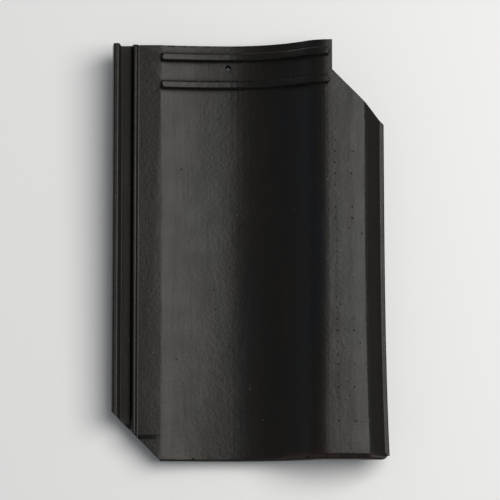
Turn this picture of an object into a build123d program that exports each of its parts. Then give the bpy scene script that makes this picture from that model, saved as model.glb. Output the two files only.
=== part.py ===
"""Interlocking clay pantile with a pan on the left and a raised roll on the right.

Millimetres. X runs across the tile towards the roll, Y up the slope from tail to
head, Z up. Sections are drawn with the lowest line of the pan's top at height 0,
and the finished tile is then set down on its tail lip and its two nibs.
"""

from build123d import *
from math import acos, asin, atan2, cos, degrees, radians, sin
import os

# Cover sizes and laps
cover_width = 206.0
batten_gauge = 312.0
side_lap = 45.0
head_lap = 73.0

# S-shaped section; the pan is lowest at this distance from the edge that stays visible
body_thickness = 12.0
edge_height = 6.0
pan_low = 64.0
crest_height = 35.0
near_crest_radius = 30.0
crest_radius = 240.0
crest_flat_head = 1.0
crest_flat_tail = 5.0
flare_power = 4
shoulder_start = 7.2
shoulder_radius = 6.5
inner_shoulder_radius = 6.0
lip_shoulder_share = 0.2
flank_angle = 58.0

# Foot of the flank, which covers the side lock of the next tile
foot_gap = 1.5
ledge_width = 3.0
ledge_thickness = 4.0
ledge_root_radius = 2.0
ledge_edge_radius = 1.5

# Side lock
outer_rib_width = 8.0
outer_rib_height = 16.0
channel_width = 10.0
channel_floor = 1.0
inner_rib_width = 6.0
inner_rib_height = 9.0
rib_draft = 1.5
rib_round = 1.5

# Head lock
cross_rib_height = 6.5
cross_rib_width = 7.0
cross_rib_places = (8.0, 34.0)
cross_rib_round = 1.5

# Tail lip and nose
lip_depth = 7.5
lip_length = 12.0
lip_round = 2.0
nose_radius = 5.5
nose_start_radius = 0.8
nose_lift = 0.1

# Batten nibs
nib_depth = 17.0
nib_width = 30.0
nib_length = 15.0
nib_face_from_head = 40.0
nib_places = (16.0, 98.0)
nib_round = 3.0
nib_tip_round = 2.5

# Mitred corners and fixing hole
mitre_gap = 3.0
hole_radius = 2.75
hole_place = 62.0
hole_from_head = 21.0

# Derived outline
width = cover_width + side_lap
length = batten_gauge + head_lap
left = -width / 2
right = width / 2
tail = -length / 2
head = length / 2
edge = left + side_lap
low = edge + pan_low
nib_face = head - nib_face_from_head

# How far joined shapes and cutters reach past each other
sink = 3.0

# The crest's place follows from the foot, the flank and the crest's far half
crest_centre_height = crest_height - crest_radius
near_centre_height = crest_height - near_crest_radius
foot_bottom = edge_height + foot_gap
ledge_top = foot_bottom + ledge_thickness
root_height = ledge_top + ledge_root_radius * (1 - cos(radians(flank_angle)))
flank_reach = shoulder_radius + (crest_radius - shoulder_radius) * cos(
    radians(flank_angle - shoulder_start)
)

# The lip's inner shoulder is a share of the arc that would reach from crest to flank
lip_bottom = body_thickness + lip_depth
lip_crest_reach = (crest_radius - lip_bottom) * cos(radians(flank_angle))
lip_shoulder_radius = lip_shoulder_share * (
    (flank_reach - lip_bottom - lip_crest_reach) / (1 - cos(radians(flank_angle)))
)


def flank_run(depth, height):
    """Give the distance from the crest's far centre to the flank, at a depth under its face."""
    drop = (height - crest_centre_height) * cos(radians(flank_angle))
    return (flank_reach - depth - drop) / sin(radians(flank_angle))


root_run = ledge_root_radius * sin(radians(flank_angle))
crest = right - ledge_width - root_run - flank_run(0, root_height) - crest_flat_head

# The pan falls from the visible edge to its low line, and the rise and the crest meet
# where their common slope fits the height of the roll
pan_radius = (pan_low**2 + edge_height**2) / (2 * edge_height)
pan_angle = degrees(asin(pan_low / pan_radius))
rise_run = crest - low
rise_angle = degrees(2 * atan2(crest_height, rise_run))
rise_radius = rise_run / sin(radians(rise_angle)) - near_crest_radius


def pan_and_rise(depth):
    """Draw pan, rise and near half of the crest at a depth under the top surface."""
    pan = CenterArc((low, pan_radius), pan_radius + depth, 270 - pan_angle, pan_angle)
    CenterArc((low, rise_radius), rise_radius + depth, 270, rise_angle)
    near_crest = CenterArc(
        (crest, near_centre_height), near_crest_radius - depth, 90 + rise_angle, -rise_angle
    )
    return pan @ 0, near_crest @ 1


def crest_and_shoulder(depth, corner, flat):
    """Draw the crest's flat, its far half and the shoulder above the flank."""
    reach = flank_reach - depth
    orbit = crest_radius - depth - corner
    turn = flank_angle - degrees(acos((reach - corner) / orbit))
    centre_x = crest + flat
    Line((crest, crest_height - depth), (centre_x, crest_height - depth))
    CenterArc((centre_x, crest_centre_height), crest_radius - depth, 90, -turn)
    corner_centre = (
        centre_x + orbit * sin(radians(turn)),
        crest_centre_height + orbit * cos(radians(turn)),
    )
    shoulder = CenterArc(corner_centre, corner, 90 - turn, turn - flank_angle)
    return shoulder @ 1


def flank_point(depth, height, flat):
    """Give the point of the flank at a height, at a depth under its outer face."""
    return (crest + flat + flank_run(depth, height), height)


def flat_at(share):
    """Give the width of the crest's flat, which widens towards the tail."""
    return crest_flat_head + (crest_flat_tail - crest_flat_head) * share**flare_power


# Side lock, pan and rise, one section from head to tail
channel_left = left + outer_rib_width
channel_right = channel_left + channel_width
landing = channel_right + inner_rib_width
with BuildPart() as pan_side:
    with BuildSketch(Plane.XZ.offset(-head)):
        with BuildLine():
            upper_start, upper_end = pan_and_rise(0)
            lower_start, lower_end = pan_and_rise(body_thickness)
            Line(upper_end, lower_end)
            FilletPolyline(
                upper_start,
                (landing, edge_height),
                (landing - rib_draft, inner_rib_height),
                (channel_right + rib_draft, inner_rib_height),
                (channel_right, channel_floor),
                (channel_left, channel_floor),
                (channel_left - rib_draft, outer_rib_height),
                (left + rib_draft, outer_rib_height),
                (left, channel_floor),
                (left, lower_start.Y),
                lower_start,
                radius=rib_round,
            )
        make_face()
    extrude(amount=length)

# Crest, flank and foot, which flare towards the tail
with BuildPart() as roll_side:
    for step in range(5):
        share = step / 4
        flat = flat_at(share)
        foot_x = right + flat - crest_flat_head
        with BuildSketch(Plane.XZ.offset(share * length - head)):
            with BuildLine():
                outer_end = crest_and_shoulder(0, shoulder_radius, flat)
                inner_end = crest_and_shoulder(body_thickness, inner_shoulder_radius, flat)
                flank = Line(outer_end, flank_point(0, root_height, flat))
                root = JernArc(flank @ 1, flank % 1, ledge_root_radius, flank_angle)
                ledge = Line(root @ 1, (foot_x - ledge_edge_radius, ledge_top))
                rim = JernArc(ledge @ 1, ledge % 1, ledge_edge_radius, -90)
                Polyline(
                    rim @ 1,
                    (foot_x, foot_bottom),
                    flank_point(body_thickness, foot_bottom, flat),
                    inner_end,
                )
                Line((crest, crest_height), (crest, crest_height - body_thickness))
            make_face()
    loft()

# Lip under the tail, from the visible edge over the roll to the foot
with BuildPart() as tail_lip:
    with BuildSketch(Plane.XZ.offset(-tail)):
        lip_top = body_thickness - sink
        with BuildLine():
            upper_start, upper_end = pan_and_rise(lip_top)
            lower_start, lower_end = pan_and_rise(lip_bottom)
            Polyline(upper_start, (lower_start.X, upper_start.Y), lower_start)
            upper_end = crest_and_shoulder(lip_top, inner_shoulder_radius, crest_flat_tail)
            lower_end = crest_and_shoulder(lip_bottom, lip_shoulder_radius, crest_flat_tail)
            Polyline(
                upper_end,
                flank_point(lip_top, foot_bottom, crest_flat_tail),
                flank_point(lip_bottom, foot_bottom, crest_flat_tail),
                lower_end,
            )
        make_face()
    extrude(amount=-lip_length)
    rear_arcs = tail_lip.edges().filter_by(GeomType.CIRCLE).group_by(Axis.Y)[-1]
    fillet(rear_arcs.sort_by(SortBy.RADIUS)[-1], lip_round)

# Two ribs across the head, under the tail lip of the next course
with BuildPart() as cross_ribs:
    for place in cross_rib_places:
        with BuildSketch(Plane.XZ.offset(place - head)):
            with BuildLine():
                upper_start, upper_end = pan_and_rise(-cross_rib_height)
                lower_start, lower_end = pan_and_rise(sink)
                Line(upper_start, lower_start)
                Line(upper_end, lower_end)
            make_face()
        extrude(amount=cross_rib_width)
    raised = (
        pan_radius - cross_rib_height,
        rise_radius - cross_rib_height,
        near_crest_radius + cross_rib_height,
    )
    crown = [
        arc
        for arc in cross_ribs.edges().filter_by(GeomType.CIRCLE)
        if min(abs(arc.radius - radius) for radius in raised) < 0.01
    ]
    fillet(crown, cross_rib_round)

# Nibs that hook over the batten, cut to the body's curve at the top
with BuildPart() as nibs:
    for place in nib_places:
        nib_y = nib_face + nib_length / 2
        nib_bottom = -body_thickness - nib_depth
        with BuildSketch(Plane.XY.offset(nib_bottom)):
            with Locations((edge + place, nib_y)):
                RectangleRounded(nib_width, nib_length, nib_round)
        extrude(amount=crest_height - nib_bottom)
    fillet(nibs.edges().filter_by(Plane.XY).group_by(Axis.Z)[0], nib_tip_round)
    with BuildSketch(Plane.XZ.offset(-head)):
        with BuildLine():
            curve_start, curve_end = pan_and_rise(sink)
            above = crest_height + sink
            Polyline(curve_end, (curve_end.X, above), (curve_start.X, above), curve_start)
        make_face()
    extrude(amount=nib_face_from_head + sink, mode=Mode.SUBTRACT)

# Nose of the roll: a cutter along the tail's upper edge, which grows up the rise
with BuildLine() as pan_line:
    CenterArc((low, pan_radius), pan_radius, 270 - pan_angle, pan_angle)
with BuildLine() as rise_line:
    CenterArc((low, rise_radius), rise_radius, 270, rise_angle)
with BuildLine() as crest_line:
    CenterArc((crest, near_centre_height), near_crest_radius, 90 + rise_angle, -rise_angle)
    shoulder_end = crest_and_shoulder(0, shoulder_radius, crest_flat_tail)
    Line(shoulder_end, flank_point(0, foot_bottom - sink, crest_flat_tail))
tail_plane = Plane.XZ.offset(-tail)
pan_path = tail_plane * pan_line.wire()
rise_path = tail_plane * rise_line.wire()
crest_path = tail_plane * crest_line.wire()


def nose_section(path, end, radius):
    """Give what the nose takes off, square to the path at one of its ends."""
    with BuildSketch(Plane(path @ end, (0, 1, 0), path % end)) as section:
        with BuildLine():
            nose = CenterArc((radius, -radius), radius + nose_lift, 90, 90)
            Polyline(nose @ 1, (-sink, sink), nose @ 0)
        make_face()
    return section.sketch


nose_root = nose_section(rise_path, 0, nose_start_radius)
nose_full = nose_section(rise_path, 1, nose_radius)
with BuildPart() as pan_nose:
    sweep(sections=nose_section(pan_path, 0, nose_start_radius), path=pan_path)
with BuildPart() as rise_nose:
    sweep(sections=[nose_root, nose_full], path=rise_path, multisection=True)
with BuildPart() as crest_nose:
    sweep(sections=nose_full, path=crest_path)

with BuildPart() as tile:
    add(pan_side.part)
    add(roll_side.part)
    add(tail_lip.part)
    add(cross_ribs.part)
    add(nibs.part)
    add(pan_nose.part, mode=Mode.SUBTRACT)
    add(rise_nose.part, mode=Mode.SUBTRACT)
    add(crest_nose.part, mode=Mode.SUBTRACT)

    # Mitred head corner, clear of the lock of the tile above and to the right
    with BuildSketch(Plane.XY.offset(-crest_height)):
        reach = side_lap + mitre_gap
        with BuildLine():
            Polyline(
                (right, head - head_lap - mitre_gap),
                (right - reach, head - head_lap - mitre_gap + reach),
                (right - reach, head + sink),
                (right + side_lap, head + sink),
                (right + side_lap, head - head_lap - mitre_gap - side_lap),
                close=True,
            )
        make_face()
    extrude(amount=3 * crest_height, mode=Mode.SUBTRACT)

    # Mitred tail corner, clear of the roll of the tile below and to the left
    with BuildSketch(Plane.XY.offset(-crest_height)):
        with BuildLine():
            Polyline(
                (edge + sink, tail - sink),
                (left - sink, tail + side_lap + sink),
                (left - sink, tail - sink),
                close=True,
            )
        make_face()
    extrude(amount=3 * crest_height, mode=Mode.SUBTRACT)

    # Fixing hole through the pan at the head
    with Locations((edge + hole_place, head - hole_from_head)):
        Hole(hole_radius)

# Set down on a level floor: the nibs are deeper than the lip, so the head stands higher
seat_tilt = degrees(atan2(nib_depth - lip_depth, nib_face - tail))
with BuildPart() as roof_tile:
    add(tile.part, rotation=(seat_tilt, 0, 0))
box = roof_tile.part.bounding_box()
roof_tile.part.position -= (box.center().X, box.center().Y, box.min.Z)

roof_tile.part.label = "roof_tile"
os.makedirs("parts", exist_ok=True)
export_step(roof_tile.part, "parts/roof_tile.step")
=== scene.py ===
from math import cos, pi, radians, sin

import bmesh
import bpy
import numpy as np
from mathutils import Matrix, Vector, noise
from mathutils.bvhtree import BVHTree


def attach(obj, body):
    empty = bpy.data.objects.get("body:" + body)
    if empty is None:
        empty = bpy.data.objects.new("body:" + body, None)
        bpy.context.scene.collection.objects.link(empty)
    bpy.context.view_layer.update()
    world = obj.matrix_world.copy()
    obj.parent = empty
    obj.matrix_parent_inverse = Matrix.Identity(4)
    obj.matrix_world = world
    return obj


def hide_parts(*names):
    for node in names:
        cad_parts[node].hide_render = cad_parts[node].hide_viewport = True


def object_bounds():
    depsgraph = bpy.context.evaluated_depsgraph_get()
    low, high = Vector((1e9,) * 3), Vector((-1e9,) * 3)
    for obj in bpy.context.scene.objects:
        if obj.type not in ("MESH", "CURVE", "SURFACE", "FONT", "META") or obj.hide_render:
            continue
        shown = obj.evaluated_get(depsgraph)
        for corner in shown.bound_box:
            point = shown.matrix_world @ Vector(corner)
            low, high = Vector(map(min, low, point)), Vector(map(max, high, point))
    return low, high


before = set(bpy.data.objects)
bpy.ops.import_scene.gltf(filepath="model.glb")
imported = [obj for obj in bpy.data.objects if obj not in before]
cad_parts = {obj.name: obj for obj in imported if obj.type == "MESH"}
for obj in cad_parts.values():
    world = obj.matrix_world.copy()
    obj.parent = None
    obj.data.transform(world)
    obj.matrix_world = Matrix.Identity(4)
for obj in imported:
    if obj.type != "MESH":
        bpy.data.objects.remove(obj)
CAD_BOX = [list(corner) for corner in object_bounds()]
LOW, HIGH = (Vector(corner) for corner in CAD_BOX)
SIZE = HIGH - LOW
CENTRE = (LOW + HIGH) / 2
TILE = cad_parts["roof_tile"]
ACROSS = Vector((1.0, 0.0, 0.0))
DOWN = Vector((0.0, 0.0, -1.0))

# Stretch of the top, from the visible edge to the roll's shoulder, that is reshaped
TOP_START = LOW.x + 0.045
TOP_END = HIGH.x - 0.030
SAMPLE_STEP = 0.0005
FADE_REACH = 0.010

# Softening of the change of curve at the pan's low line, which ends before the roll
SOFT_REACH = 0.006
SOFT_TAIL = 3
SOFT_END = 0.050

# Depths under the top, and heights over it, between which the reshaping fades out
FADE_HEIGHT = (0.001, 0.005)

# Slight waves of the pressed clay: waves per metre across and along, and their height
WAVE_SCALE = (26.0, 11.0)
WAVE_HEIGHT = 0.0004

# Cuts that refine the mesh, and the distance at which two points are one
CUT_ALONG = 0.005
CUT_ACROSS = 0.003
CHIP_CUT = 0.0006
WELD = 1e-6

# Edges turning by more than this stay sharp
SHARP_TURN = 30.0

# Chips on the tail's upper edge: place across the tile and radius
CHIPS = (
    (-0.052, 0.0022),
    (-0.017, 0.0014),
    (0.004, 0.0018),
    (0.031, 0.0013),
    (0.052, 0.0028),
    (0.0585, 0.0018),
    (0.081, 0.0024),
    (0.096, 0.0016),
)
CHIP_ROUGHNESS = 0.3
CHIP_SINK = 0.4
CHIP_PROBE = 0.008
CHIP_MARGIN = 3
CHIP_WAVES = 2.5
CHIP_SHIFT = 1000.0

# Thin end of the foot's ledge at the tail, set back behind the rounded corner
LEDGE_SIDE = HIGH.x - 0.002
LEDGE_END = LOW.y + 0.004

# Camera: nearly square to the tile, seen a little from the tail, from far off
CAMERA_ELEVATION = 81.0
CAMERA_DISTANCE = 3.0
FRAME_FILL = 0.84
SENSOR_MM = 36.0

# Light: one softbox overhead, a little to the right, and a dim room with a paler horizon
SOFTBOX_PLACE = (0.85, 0.25, 1.8)
SOFTBOX_SIZE = (1.25, 1.7)
SOFTBOX_RADIANCE = 5.9
SOFTBOX_COLOUR = (1.0, 0.985, 0.94)
ROOM_COLOUR = (0.92, 0.96, 1.0, 1.0)
ROOM_STRENGTH = 0.23
HORIZON_STRENGTH = 0.5
HORIZON_HEIGHT = (0.10, 0.50)

# Floor
FLOOR_SIZE = 8.0
FLOOR_COLOUR = (0.80, 0.80, 0.81, 1.0)
FLOOR_ROUGHNESS = 0.9
FLOOR_SHEEN = 0.1

# Colours of the engobe
BODY_COLOUR = (0.0057, 0.0051, 0.0048, 1.0)
BLUE_COLOUR = (0.0046, 0.0050, 0.0062, 1.0)
BROWN_COLOUR = (0.0088, 0.0055, 0.0045, 1.0)
SPECK_COLOUR = (0.060, 0.055, 0.050, 1.0)
WORN_COLOUR = (0.026, 0.019, 0.015, 1.0)
# Painted shade: a darker colour laid in corners, in pinholes, and on the roll's flank and the
# tail's face
PAINTED_SHADE_COLOUR = (0.0042, 0.0036, 0.0032, 1.0)
# Painted shade in the dimples up the roll
DIMPLE_COLOUR = (0.0042, 0.0020, 0.0016, 1.0)
NOSE_COLOUR = (0.0180, 0.0090, 0.0065, 1.0)

# Sheen of the engobe, and how streaks, clouds, and the dull places in the corners, on the roll's
# flank and on the tail's face make it rougher
SHEEN_LEVEL = 0.23
SHEEN_TINT = (1.0, 0.99, 0.945, 1.0)
ROUGH_STREAKS = (0.33, 0.37)
ROUGH_CLOUDS = (-0.02, 0.03)
ROUGH_DULL = 0.65

# Patterns: waves or points per metre, and how much longer they are up the slope
UP_THE_SLOPE = (1.0, 0.22, 1.0)
DRAWN_OUT = (1.0, 0.06, 1.0)
DRIFT_SCALE = 26.0
STREAK_SCALE = 420.0
CLOUD_SCALE = 38.0
PATCH_SCALE = 140.0
SWELL_SCALE = 22.0
PEEL_SCALE = 300.0
GRAIN_SCALE = 900.0
DOT_SCALE = 170.0

# Shares of the dots that are light specks, and pinholes off the roll and on it
SPECK_RARITY = (0.955, 0.965)
PIN_RARITY = 0.96
PIN_RARITY_DROP = 0.22
# Strength of the painted shade in the pinholes
PIN_DARKNESS = 0.8

# Stretch across the tile, on the roll, where most pinholes are
PIN_ZONE = ((0.050, 0.068), (0.100, 0.106))

# Rows of small dimples up the roll: place across the tile, and the share that is missing
DIMPLE_ROWS = ((0.0785, 0.05), (0.0935, 0.60))
DIMPLE_PITCH = 0.0103
DIMPLE_EDGE = (0.0010, 0.0003)
DIMPLE_LEAN = -0.012
DIMPLE_STRETCH = ((-0.180, -0.165), (0.085, 0.115))
FAINTEST_DIMPLE = 0.25

# Brownish tint of the tail's nose, strongest at the roll
NOSE_LENGTH = (LOW.y + 0.008, LOW.y + 0.002)
NOSE_SIDES = (-0.020, 0.045)

# Worn edges, painted shade in corners, and how far a face leans right or to the tail to get
# painted shade and be dull
EDGE_RADIUS = 0.0009
EDGE_TURN = (0.995, 0.90)
CORNER_REACH = 0.012
CORNER_SHADE = (0.80, 0.35)
SHADE_AND_DULL_LEAN = (0.66, 0.80)

# Depths of the relief
SWELL_DEPTH = 0.0006
STREAK_DEPTH = 0.000010
PEEL_DEPTH = 0.00016
GRAIN_DEPTH = 0.00003
PIT_DEPTH = 0.0003
DIMPLE_DEPTH = 0.0004


class Graph:
    """Short way to add linked nodes to a material."""

    def __init__(self, name):
        self.material = bpy.data.materials.new(name)
        self.material.use_nodes = True
        self.tree = self.material.node_tree
        self.shader = self.tree.nodes["Principled BSDF"]

    def set(self, node, values):
        """Link sockets to the node's inputs, or write plain values there."""
        for key, value in values.items():
            if isinstance(value, bpy.types.NodeSocket):
                self.tree.links.new(value, node.inputs[key])
            else:
                node.inputs[key].default_value = value

    def add(self, kind, values, **settings):
        """Add a node with its settings and inputs."""
        node = self.tree.nodes.new("ShaderNode" + kind)
        for key, value in settings.items():
            setattr(node, key, value)
        self.set(node, values)
        return node

    def math(self, operation, *values):
        """Give the result of one operation on one, two or three values."""
        return self.add("Math", dict(enumerate(values)), operation=operation).outputs[0]

    def band(self, value, start, end, low=0.0, high=1.0):
        """Give a smooth step from low at start to high at end."""
        keys = {"Value": value, 1: start, 2: end, 3: low, 4: high}
        return self.add("MapRange", keys, interpolation_type="SMOOTHSTEP").outputs[0]

    def mix(self, share, first, second):
        """Give a colour between two, by a share from 0 to 1."""
        node = self.add("Mix", {0: share, 6: first, 7: second}, data_type="RGBA")
        return node.outputs[2]

    def noise(self, place, scale, detail, stretch=(1.0, 1.0, 1.0)):
        """Give noise with a number of waves per metre, stretched along the axes."""
        spread = self.add("Mapping", {"Vector": place, "Scale": stretch})
        keys = {"Vector": spread.outputs[0], "Scale": scale, "Detail": detail}
        return self.add("TexNoise", keys).outputs[0]

    def dots(self, place, scale):
        """Give the distance from scattered points and two random numbers for each point."""
        node = self.add("TexVoronoi", {"Vector": place, "Scale": scale})
        chance = self.add("SeparateXYZ", {"Vector": node.outputs["Color"]}).outputs
        return node.outputs["Distance"], chance["X"], chance["Y"]

    def stretch(self, value, start, end):
        """Give 1 between two smooth steps, each as (outer, inner) and (inner, outer)."""
        return self.math("MULTIPLY", self.band(value, *start), self.band(value, *reversed(end)))


class Section:
    """The line of the tile's top across its width, as packed and softened."""

    def __init__(self):
        tree = BVHTree.FromObject(TILE, bpy.context.evaluated_depsgraph_get())
        head = top_point(tree, 0.0, SIZE.y / 4)
        tail = top_point(tree, 0.0, -SIZE.y / 4)
        self.along = (head - tail).normalized()
        self.up = ACROSS.cross(self.along)
        self.places = np.arange(TOP_START, TOP_END, SAMPLE_STEP)
        self.heights = np.array([top_point(tree, x, 0.0).dot(self.up) for x in self.places])
        from_ends = np.minimum(self.places - TOP_START, TOP_END - self.places)
        self.fades = np.clip(from_ends / FADE_REACH, 0.0, 1.0)
        before_roll = np.clip((SOFT_END - self.places) / FADE_REACH, 0.0, 1.0)
        self.changes = (self.softened() - self.heights) * self.fades * before_roll

    def softened(self):
        """Give the heights, averaged with their neighbours by a bell curve."""
        reach = round(SOFT_TAIL * SOFT_REACH / SAMPLE_STEP)
        offsets = np.arange(-reach, reach + 1) * SAMPLE_STEP / SOFT_REACH
        kernel = np.exp(-0.5 * offsets**2)
        padded = np.pad(self.heights, reach, mode="reflect", reflect_type="odd")
        return np.convolve(padded, kernel / kernel.sum(), mode="valid")

    def at(self, values, x):
        """Give one of the section's rows of values at a place across the tile."""
        return float(np.interp(x, self.places, values))

    def shift(self, point):
        """Give how far a point near the top moves up, from softening and waves."""
        near, far = FADE_HEIGHT
        distance = abs(point.dot(self.up) - self.at(self.heights, point.x))
        share = min(max((far - distance) / (far - near), 0.0), 1.0)
        across, along = WAVE_SCALE
        wave = noise.noise((point.x * across, point.y * along, 0.0)) - 1.0
        wave *= WAVE_HEIGHT * self.at(self.fades, point.x)
        return share * (self.at(self.changes, point.x) + wave)


def top_point(tree, x, y):
    """Give the highest point of a surface at a place."""
    return tree.ray_cast(Vector((x, y, HIGH.z + SIZE.z)), DOWN)[0]


def cut(mesh, faces, point, normal):
    """Cut the given faces of a mesh by a plane and give all the faces on both sides."""
    geometry = set(faces)
    for face in faces:
        geometry.update(face.edges)
        geometry.update(face.verts)
    made = bmesh.ops.bisect_plane(
        mesh, geom=list(geometry), plane_co=point, plane_no=normal, dist=WELD
    )
    return [part for part in made["geom"] if isinstance(part, bmesh.types.BMFace)]


def refine(mesh, section):
    """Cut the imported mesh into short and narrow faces."""
    bmesh.ops.remove_doubles(mesh, verts=mesh.verts, dist=WELD)
    for y in np.arange(LOW.y + CUT_ALONG, HIGH.y, CUT_ALONG):
        cut(mesh, list(mesh.faces), (0.0, y, 0.0), section.along)
    for x in np.arange(TOP_START + CUT_ACROSS, TOP_END, CUT_ACROSS):
        cut(mesh, list(mesh.faces), (x, 0.0, 0.0), ACROSS)


def reshape(mesh, section):
    """Soften and wave the top, and set back the thin end of the foot's ledge."""
    for vertex in mesh.verts:
        if TOP_START < vertex.co.x < TOP_END:
            vertex.co += section.up * section.shift(vertex.co)
        if vertex.co.x > LEDGE_SIDE:
            vertex.co.y = max(vertex.co.y, LEDGE_END)


def chip_tail(mesh, section, front):
    """Chip the tail's upper edge, which is at a given distance along the tile."""
    outwards = (section.up - section.along).normalized()
    tree = BVHTree.FromBMesh(mesh)
    for place, radius in CHIPS:
        rim = top_point(tree, place, LOW.y + CHIP_PROBE)
        rim += section.along * (front - rim.dot(section.along))
        edge = tree.ray_cast(rim + outwards * CHIP_PROBE, -outwards)[0]
        add_chip(mesh, edge + outwards * radius * (1 - CHIP_SINK), radius)


def add_chip(mesh, centre, radius):
    """Refine the faces round a point and push them out of a rough ball."""
    reach = radius * (1 + CHIP_ROUGHNESS)
    faces = [
        face for face in mesh.faces
        if any((vertex.co - centre).length < CHIP_MARGIN * reach for vertex in face.verts)
    ]
    for axis in range(3):
        normal = Vector((0.0, 0.0, 0.0))
        normal[axis] = 1.0
        for place in np.arange(centre[axis] - reach, centre[axis] + reach, CHIP_CUT):
            point = Vector(centre)
            point[axis] = place
            faces = cut(mesh, faces, point, normal)
    for vertex in mesh.verts:
        away = vertex.co - centre
        if away.length > reach:
            continue
        rough = noise.noise(away.normalized() * CHIP_WAVES + centre * CHIP_SHIFT)
        limit = radius * (1 + CHIP_ROUGHNESS * rough)
        if away.length < limit:
            vertex.co = centre + away.normalized() * limit


def add_tile():
    """Add the tile that shows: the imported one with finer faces, soft lines, waves and chips."""
    section = Section()
    mesh = bmesh.new()
    mesh.from_mesh(TILE.data)
    refine(mesh, section)
    front = min(vertex.co.dot(section.along) for vertex in mesh.verts)
    reshape(mesh, section)
    chip_tail(mesh, section, front)
    data = bpy.data.meshes.new("tile_body")
    mesh.to_mesh(data)
    mesh.free()
    data.set_sharp_from_angle(angle=radians(SHARP_TURN))
    data.materials.append(engobe_material())
    body = bpy.data.objects.new("tile_body", data)
    bpy.context.scene.collection.objects.link(body)
    flat_faces = body.modifiers.new("flat_faces", "WEIGHTED_NORMAL")
    flat_faces.keep_sharp = True
    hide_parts("roof_tile")
    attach(body, "root")


def add_camera():
    """Look down on the tile with its length filling most of the frame's height."""
    data = bpy.data.cameras.new("camera")
    camera = bpy.data.objects.new("camera", data)
    bpy.context.scene.collection.objects.link(camera)
    rise = radians(CAMERA_ELEVATION)
    away = Vector((0.0, -cos(rise), sin(rise)))
    camera.location = CENTRE + away * CAMERA_DISTANCE
    camera.rotation_euler = (-away).to_track_quat("-Z", "Y").to_euler()
    data.sensor_width = SENSOR_MM
    data.lens = SENSOR_MM * CAMERA_DISTANCE * FRAME_FILL / SIZE.y
    bpy.context.scene.camera = camera


def add_softbox():
    """Add the softbox, aimed at the tile."""
    data = bpy.data.lights.new("softbox", "AREA")
    data.shape = "RECTANGLE"
    data.size, data.size_y = SOFTBOX_SIZE
    data.energy = SOFTBOX_RADIANCE * pi * data.size * data.size_y
    data.color = SOFTBOX_COLOUR
    lamp = bpy.data.objects.new("softbox", data)
    lamp.location = SOFTBOX_PLACE
    lamp.rotation_euler = (-Vector(SOFTBOX_PLACE)).to_track_quat("-Z", "Y").to_euler()
    bpy.context.scene.collection.objects.link(lamp)


def add_room():
    """Add the dim room, whose light rises towards the horizon."""
    room = bpy.data.worlds.new("room")
    room.use_nodes = True
    nodes, links = room.node_tree.nodes, room.node_tree.links
    background = nodes["Background"]
    background.inputs["Color"].default_value = ROOM_COLOUR
    direction = nodes.new("ShaderNodeTexCoord").outputs["Generated"]
    parts = nodes.new("ShaderNodeSeparateXYZ")
    band = nodes.new("ShaderNodeMapRange")
    links.new(direction, parts.inputs[0])
    links.new(parts.outputs["Z"], band.inputs["Value"])
    for key, value in enumerate((*HORIZON_HEIGHT, HORIZON_STRENGTH, ROOM_STRENGTH), 1):
        band.inputs[key].default_value = value
    links.new(band.outputs[0], background.inputs["Strength"])
    bpy.context.scene.world = room


def add_floor():
    """Add a plain pale floor."""
    bpy.ops.mesh.primitive_plane_add(size=FLOOR_SIZE, location=(0.0, 0.0, 0.0))
    floor = bpy.context.object
    floor.name = "floor"
    graph = Graph("pale_floor")
    graph.set(graph.shader, {"Base Color": FLOOR_COLOUR, "Roughness": FLOOR_ROUGHNESS})
    graph.set(graph.shader, {"Specular IOR Level": FLOOR_SHEEN})
    floor.data.materials.append(graph.material)


def dimple_rows(graph, across, along):
    """Give a mask of the rows of small dimples, each a little stronger or weaker."""
    steps = graph.math("DIVIDE", along, DIMPLE_PITCH)
    chance = graph.add("TexWhiteNoise", {"W": graph.math("FLOOR", steps)}, noise_dimensions="1D")
    chance = chance.outputs["Value"]
    forward = graph.math("SUBTRACT", graph.math("FRACT", steps), 0.5)
    forward = graph.math("MULTIPLY", forward, DIMPLE_PITCH)
    mask = 0.0
    for place, missing in DIMPLE_ROWS:
        line = graph.math("MULTIPLY_ADD", along, DIMPLE_LEAN, place)
        sideways = graph.math("SUBTRACT", across, line)
        offset = graph.add("CombineXYZ", {"X": sideways, "Y": forward}).outputs[0]
        distance = graph.add("VectorMath", {0: offset}, operation="LENGTH").outputs["Value"]
        strength = graph.band(chance, missing, 1.0, FAINTEST_DIMPLE, 1.0)
        strength = graph.math("MULTIPLY", strength, graph.math("GREATER_THAN", chance, missing))
        row = graph.math("MULTIPLY", graph.band(distance, *DIMPLE_EDGE), strength)
        mask = graph.math("MAXIMUM", mask, row)
    return graph.math("MULTIPLY", mask, graph.stretch(along, *DIMPLE_STRETCH))


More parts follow.
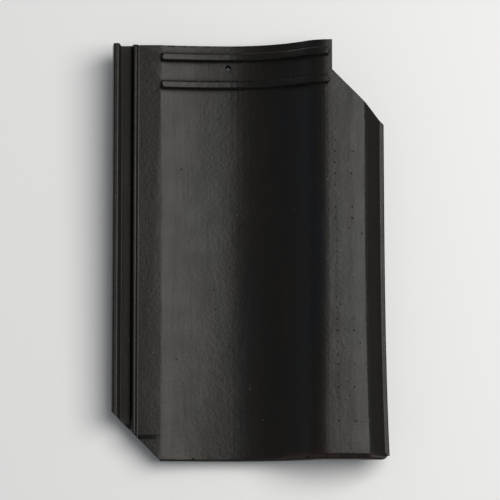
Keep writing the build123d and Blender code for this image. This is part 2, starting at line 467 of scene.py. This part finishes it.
def engobe_material():
    """Satin near-black engobe on fired clay, with drifts, streaks, grain, pinholes and wear, and
    painted shade in corners, pinholes, dimples and on the roll's flank and the tail's face.
    """
    graph = Graph("engobed_clay")
    place = graph.add("TexCoord", {}).outputs["Object"]
    parts = graph.add("SeparateXYZ", {"Vector": place}).outputs
    across, along = parts["X"], parts["Y"]
    geometry = graph.add("NewGeometry", {}).outputs
    lean = graph.add("SeparateXYZ", {"Vector": geometry["True Normal"]}).outputs

    # Colour: brownish and bluish drifts along the slope, and a few light specks
    drift = graph.noise(place, DRIFT_SCALE, 3.0, UP_THE_SLOPE)
    colour = graph.mix(graph.band(drift, 0.52, 0.66), BODY_COLOUR, BROWN_COLOUR)
    colour = graph.mix(graph.band(drift, 0.47, 0.36), colour, BLUE_COLOUR)
    distance, speck_chance, pin_chance = graph.dots(place, DOT_SCALE)
    chosen = graph.band(speck_chance, *SPECK_RARITY)
    speck = graph.math("MULTIPLY", graph.band(distance, 0.16, 0.07), chosen)
    colour = graph.mix(speck, colour, SPECK_COLOUR)

    # Pinholes: few over the tile and many along the roll
    more = graph.math("MULTIPLY", graph.stretch(across, *PIN_ZONE), PIN_RARITY_DROP)
    chosen = graph.math("GREATER_THAN", pin_chance, graph.math("SUBTRACT", PIN_RARITY, more))
    pits = graph.math("MULTIPLY", graph.band(distance, 0.17, 0.05), chosen)
    # Pinholes are painted darker: painted shade in the pits
    colour = graph.mix(graph.math("MULTIPLY", pits, PIN_DARKNESS), colour, PAINTED_SHADE_COLOUR)

    # Rows of dimples up the roll, painted in a darker reddish colour as painted shade in them
    dimples = dimple_rows(graph, across, along)
    colour = graph.mix(dimples, colour, DIMPLE_COLOUR)

    # Edges worn to the clay
    rounded = graph.add("Bevel", {"Radius": EDGE_RADIUS}, samples=6).outputs[0]
    turn = graph.add("VectorMath", {0: rounded, 1: geometry["Normal"]}, operation="DOT_PRODUCT")
    worn = graph.band(turn.outputs["Value"], *EDGE_TURN)
    patchy = graph.band(graph.noise(place, PATCH_SCALE, 4.0), 0.44, 0.60, 0.15, 0.9)
    colour = graph.mix(graph.math("MULTIPLY", worn, patchy), colour, WORN_COLOUR)

    # Painted shade: corners darkened by occlusion, and the roll's flank and the tail's face
    # darkened, all of them also made dull; then the nose's brown tint
    open_sky = graph.add("AmbientOcclusion", {"Distance": CORNER_REACH}, samples=8).outputs["AO"]
    painted_corner_shade = graph.band(open_sky, *CORNER_SHADE)
    # Faces leaning right or to the tail get painted shade in their colour, and are made dull
    away = graph.math("MAXIMUM", lean["X"], graph.math("MULTIPLY", lean["Y"], -1.0))
    painted_shade_and_dull = graph.math("MAXIMUM", painted_corner_shade, graph.band(away, *SHADE_AND_DULL_LEAN))
    colour = graph.mix(painted_shade_and_dull, colour, PAINTED_SHADE_COLOUR)
    nose = graph.math("MULTIPLY", graph.band(along, *NOSE_LENGTH), graph.band(across, *NOSE_SIDES))
    colour = graph.mix(graph.math("MULTIPLY", nose, patchy), colour, NOSE_COLOUR)

    # Satin sheen: streaks and clouds vary it, and the corners, the roll's flank and the tail's
    # face are made dull
    streak = graph.noise(place, STREAK_SCALE, 3.0, DRAWN_OUT)
    cloud = graph.noise(place, CLOUD_SCALE, 5.0)
    rough_streaks = graph.band(streak, 0.30, 0.70, *ROUGH_STREAKS)
    rough_clouds = graph.band(cloud, 0.30, 0.70, *ROUGH_CLOUDS)
    rough = graph.math("ADD", rough_streaks, rough_clouds)
    rough = graph.math("ADD", rough, graph.math("MULTIPLY", painted_shade_and_dull, ROUGH_DULL))

    # Relief: slight swells, drawn ridges, orange-peel grain, pinholes and dimples
    layers = (
        (graph.noise(place, SWELL_SCALE, 2.0), SWELL_DEPTH),
        (streak, STREAK_DEPTH),
        (graph.noise(place, PEEL_SCALE, 2.0), PEEL_DEPTH),
        (graph.noise(place, GRAIN_SCALE, 2.0), GRAIN_DEPTH),
        (graph.math("SUBTRACT", 1.0, pits), PIT_DEPTH),
        (graph.math("SUBTRACT", 1.0, dimples), DIMPLE_DEPTH),
    )
    relief = rounded
    for height, depth in layers:
        keys = {"Height": height, "Distance": depth, "Normal": relief}
        relief = graph.add("Bump", keys).outputs[0]

    graph.set(graph.shader, {"Base Color": colour, "Roughness": rough, "Normal": relief})
    graph.set(graph.shader, {"Specular IOR Level": SHEEN_LEVEL, "Specular Tint": SHEEN_TINT})
    return graph.material


add_camera()
add_softbox()
add_room()
add_floor()
add_tile()

bpy.context.scene.view_settings.view_transform = "Standard"
